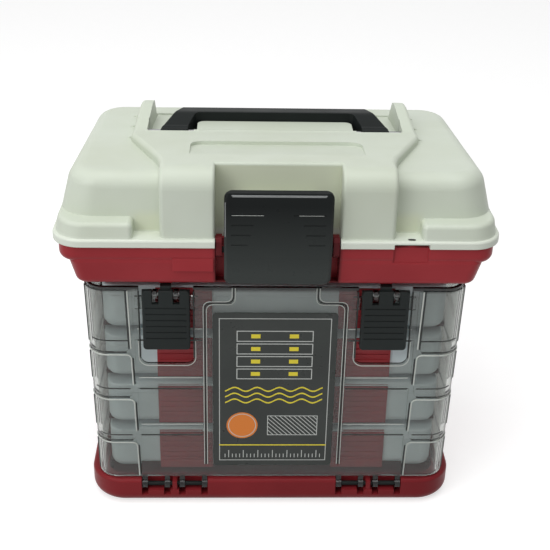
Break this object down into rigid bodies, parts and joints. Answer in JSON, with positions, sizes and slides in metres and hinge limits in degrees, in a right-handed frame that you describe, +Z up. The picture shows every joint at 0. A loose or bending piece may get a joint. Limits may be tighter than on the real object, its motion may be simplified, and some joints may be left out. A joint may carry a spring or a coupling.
{
  "type": "tackle box",
  "caption": "Rack tackle box with a smoked wrap-round drop door, clear utility boxes on rails, a storage tray, and a domed lid with a front latch and a folding handle.",
  "frame": {"origin": "centre of the bounding box on the floor plane", "axes": "+X to the right across the front, the door and latches face -Y, +Z up"},
  "size_m": [0.2794, 0.1841, 0.254],
  "materials": {
    "red": "moulded, satin",
    "cream": "moulded, fine grain",
    "smoke": "smoked, see-through",
    "black": "moulded, satin",
    "pins": "dark wire",
    "label": "printed film",
    "clear": "frosted, see-through",
    "box_latch": "moulded, satin"
  },
  "bodies": {
    "case": {"base_pan": "red", "door_hinge_pins": "black", "rack_frame": "red", "storage_tray": "red", "lid_hinge_pins": "pins", "lid_latch_pin": "pins"},
    "door": {"front_door": "smoke", "door_label": "label", "door_latch_pins": "pins"},
    "door_latch_l": {"door_latch_left": "black"},
    "door_latch_r": {"door_latch_right": "black"},
    "lid": {"lid_shell": "cream", "handle_pins": "pins"},
    "lid_handle": {"handle": "black"},
    "front_latch": {"lid_latch": "black"},
    "utility_box_1": {"box_1_tray": "clear", "box_1_lid": "clear", "box_1_latches": "box_latch", "box_1_dividers": "clear"},
    "utility_box_2": {"box_2_tray": "clear", "box_2_lid": "clear", "box_2_latches": "box_latch", "box_2_dividers": "clear"},
    "utility_box_3": {"box_3_tray": "clear", "box_3_lid": "clear", "box_3_latches": "box_latch", "box_3_dividers": "clear"},
    "utility_box_4": {"box_4_tray": "clear", "box_4_lid": "clear", "box_4_latches": "box_latch", "box_4_dividers": "clear"}
  },
  "joints": [
    {"name": "door_open", "type": "hinge", "parent": "case", "child": "door", "pos_m": [0, -0.0746, 0.0142], "axis": [1, 0, 0], "range_deg": [0, 92]},
    {"name": "door_latch_left_lift", "type": "hinge", "parent": "door", "child": "door_latch_l", "pos_m": [-0.0701, -0.0755, 0.1644], "axis": [-1, 0, 0], "range_deg": [0, 50]},
    {"name": "door_latch_right_lift", "type": "hinge", "parent": "door", "child": "door_latch_r", "pos_m": [0.0701, -0.0755, 0.1644], "axis": [-1, 0, 0], "range_deg": [0, 50]},
    {"name": "lid_open", "type": "hinge", "parent": "case", "child": "lid", "pos_m": [0, 0.0876, 0.2015], "axis": [-1, 0, 0], "range_deg": [0, 100]},
    {"name": "handle_lift", "type": "hinge", "parent": "lid", "child": "lid_handle", "pos_m": [0, 0.008, 0.2423], "axis": [1, 0, 0], "range_deg": [0, 92]},
    {"name": "lid_latch_open", "type": "hinge", "parent": "case", "child": "front_latch", "pos_m": [0, -0.081, 0.1985], "axis": [1, 0, 0], "range_deg": [0, 38]},
    {"name": "box_1_slide", "type": "slide", "parent": "case", "child": "utility_box_1", "axis": [0, -1, 0], "range_m": [0, 0.105]},
    {"name": "box_2_slide", "type": "slide", "parent": "case", "child": "utility_box_2", "axis": [0, -1, 0], "range_m": [0, 0.105]},
    {"name": "box_3_slide", "type": "slide", "parent": "case", "child": "utility_box_3", "axis": [0, -1, 0], "range_m": [0, 0.105]},
    {"name": "box_4_slide", "type": "slide", "parent": "case", "child": "utility_box_4", "axis": [0, -1, 0], "range_m": [0, 0.105]}
  ],
  "couplings": [
    {"joint": "box_1_slide", "follows": "door_open", "m_per_rad": 0.013},
    {"joint": "box_2_slide", "follows": "door_open", "m_per_rad": 0.031},
    {"joint": "box_3_slide", "follows": "door_open", "m_per_rad": 0.048},
    {"joint": "box_4_slide", "follows": "door_open", "m_per_rad": 0.065}
  ]
}
